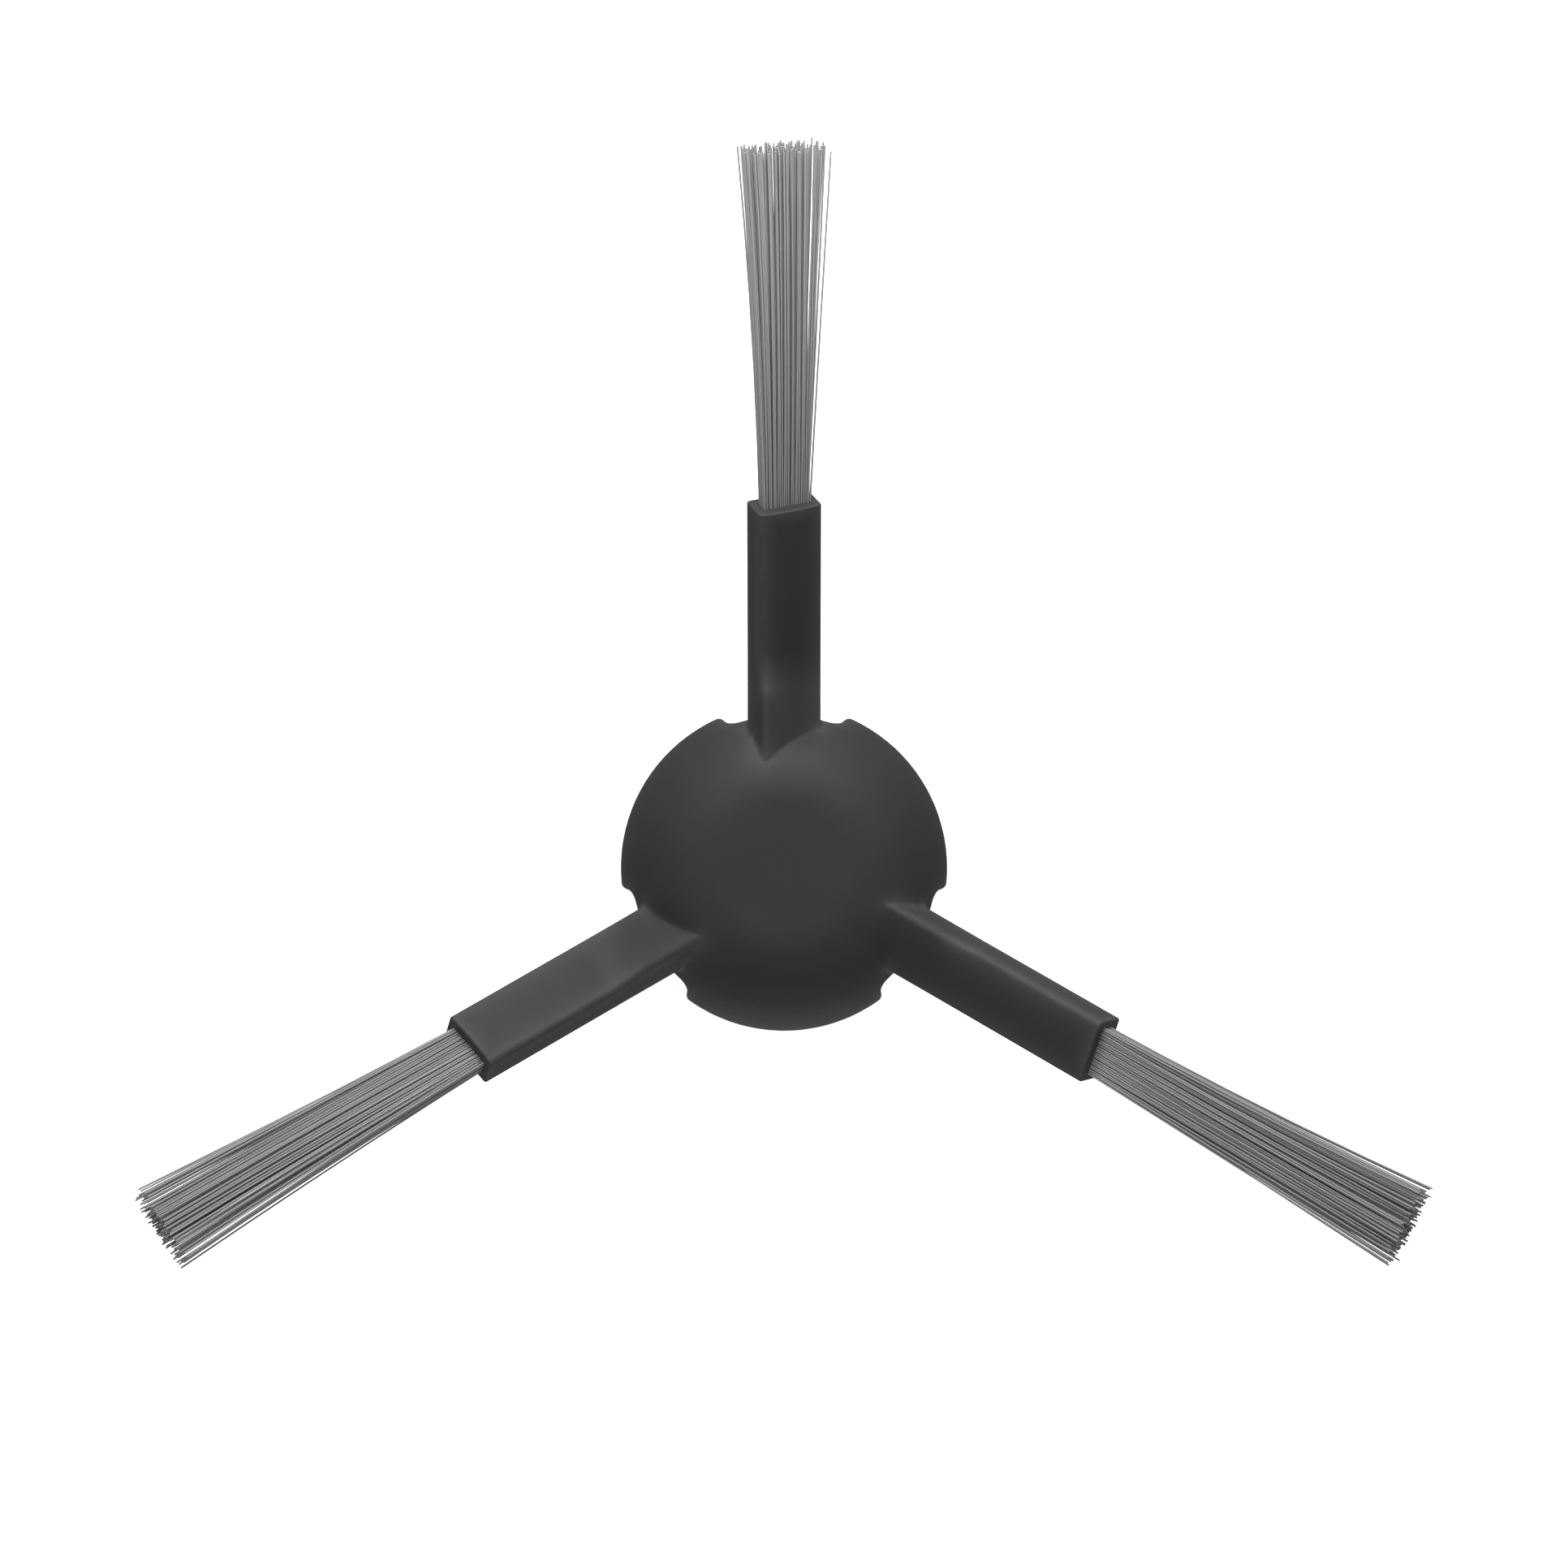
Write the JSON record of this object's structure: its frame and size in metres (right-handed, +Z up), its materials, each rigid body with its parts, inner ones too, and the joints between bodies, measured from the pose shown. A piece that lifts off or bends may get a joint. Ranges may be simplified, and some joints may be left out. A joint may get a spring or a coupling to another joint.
{
  "type": "robot vacuum side brush",
  "caption": "Side brush of a robot vacuum: a domed push-on hub with twisted, upswept arms moulded in one piece, each holding a fanned tuft of straight bristles in its sleeved end.",
  "frame": {"origin": "on the hub's axis, in the plane of the rim, at the mouth of the pilot bore", "axes": "+Z up the hub's axis through the dome, +Y along the first arm"},
  "size_m": [0.1342, 0.1171, 0.0404],
  "materials": {
    "moulding": "satin flexible moulding with a fine grain",
    "bristle": "smooth grey nylon filament"
  },
  "bodies": {
    "root": {"brush_body": "moulding", "bristle_tuft_1": "bristle", "bristle_tuft_2": "bristle", "bristle_tuft_3": "bristle"}
  },
  "joints": []
}
